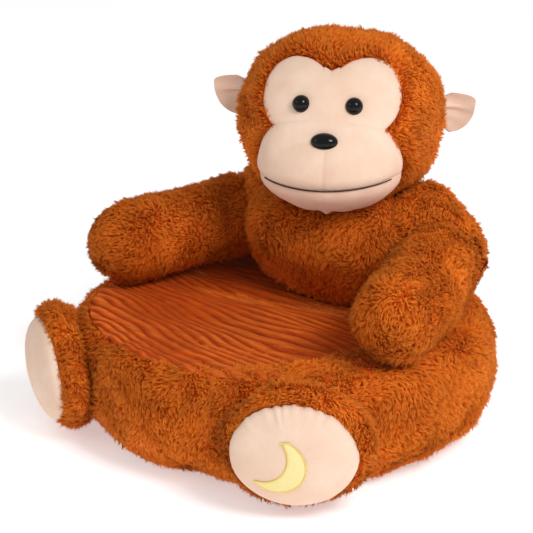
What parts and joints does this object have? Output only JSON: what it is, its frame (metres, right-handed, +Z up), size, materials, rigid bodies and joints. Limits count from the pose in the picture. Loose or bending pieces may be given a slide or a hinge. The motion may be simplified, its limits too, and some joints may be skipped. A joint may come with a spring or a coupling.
{
  "type": "plush monkey armchair",
  "caption": "Child's stuffed plush armchair shaped as a seated monkey, with a dished seat, padded arms, a turned head and stub feet.",
  "frame": {"origin": "on the floor, at the middle of the base's flat bottom panel", "axes": "+Z up; the monkey faces -Y, so +X is the monkey's own left"},
  "size_m": [0.5279, 0.5359, 0.476],
  "materials": {
    "fur": "clumped short fur, orange-brown",
    "ribbed_plush": "wide-ribbed plush, red-brown",
    "bottom_cloth": "plain woven lining, dark brown",
    "short_pile": "short smooth pile, peach",
    "short_pile_chin": "short smooth pile, pinker peach",
    "fibre_fill": "loose white polyester fibre",
    "black_thread": "embroidery thread, black",
    "black_plastic": "polished black",
    "washer_plastic": "moulded, off-white",
    "banana_cloth": "smooth satin cloth, pale yellow",
    "banana_thread": "satin stitch, deeper yellow"
  },
  "bodies": {
    "seat": {"base_bottom_panel": "bottom_cloth", "base_side_cover": "fur", "base_stuffing": "fibre_fill", "seat_panel": "ribbed_plush", "torso_cover": "fur", "torso_stuffing": "fibre_fill", "foot_left_cover": "fur", "foot_left_sole": "short_pile", "foot_left_stuffing": "fibre_fill", "foot_right_cover": "fur", "foot_right_sole": "short_pile", "foot_right_stuffing": "fibre_fill", "banana_patch": "banana_cloth", "banana_edge": "banana_thread"},
    "head": {"head_cover": "fur", "head_stuffing": "fibre_fill", "face_patch": "short_pile", "muzzle_upper_panel": "short_pile", "chin_panel": "short_pile_chin", "muzzle_stuffing": "fibre_fill", "mouth_thread": "black_thread", "nose": "black_plastic", "nose_washer": "washer_plastic", "eye_left": "black_plastic", "eye_right": "black_plastic", "eye_washers": "washer_plastic"},
    "ear_left": {"ear_left_front": "short_pile", "ear_left_back": "short_pile"},
    "ear_right": {"ear_right_front": "short_pile", "ear_right_back": "short_pile"},
    "arm_left": {"arm_left_cover": "fur", "arm_left_stuffing": "fibre_fill"},
    "arm_right": {"arm_right_cover": "fur", "arm_right_stuffing": "fibre_fill"}
  },
  "joints": [
    {"name": "head_turn", "type": "hinge", "parent": "seat", "child": "head", "pos_m": [0, 0.107, 0.362], "axis": [0, 0, 1], "range_deg": [-57, 3]},
    {"name": "arm_left_lift", "type": "hinge", "parent": "seat", "child": "arm_left", "pos_m": [0.163, 0.091, 0.2075], "axis": [-0.9511, -0.309, 0], "range_deg": [0, 12], "stiffness_Nm_per_rad": 1.5},
    {"name": "arm_right_lift", "type": "hinge", "parent": "seat", "child": "arm_right", "pos_m": [-0.163, 0.091, 0.2075], "axis": [-0.9511, 0.309, 0], "range_deg": [0, 12], "stiffness_Nm_per_rad": 1.5},
    {"name": "ear_left_fold", "type": "hinge", "parent": "head", "child": "ear_left", "pos_m": [0.10343, 0.19274, 0.373], "axis": [0, 0, 1], "range_deg": [-25, 25], "stiffness_Nm_per_rad": 0.05},
    {"name": "ear_right_fold", "type": "hinge", "parent": "head", "child": "ear_right", "pos_m": [-0.12824, 0.06696, 0.383], "axis": [0, 0, 1], "range_deg": [-25, 25], "stiffness_Nm_per_rad": 0.05}
  ]
}
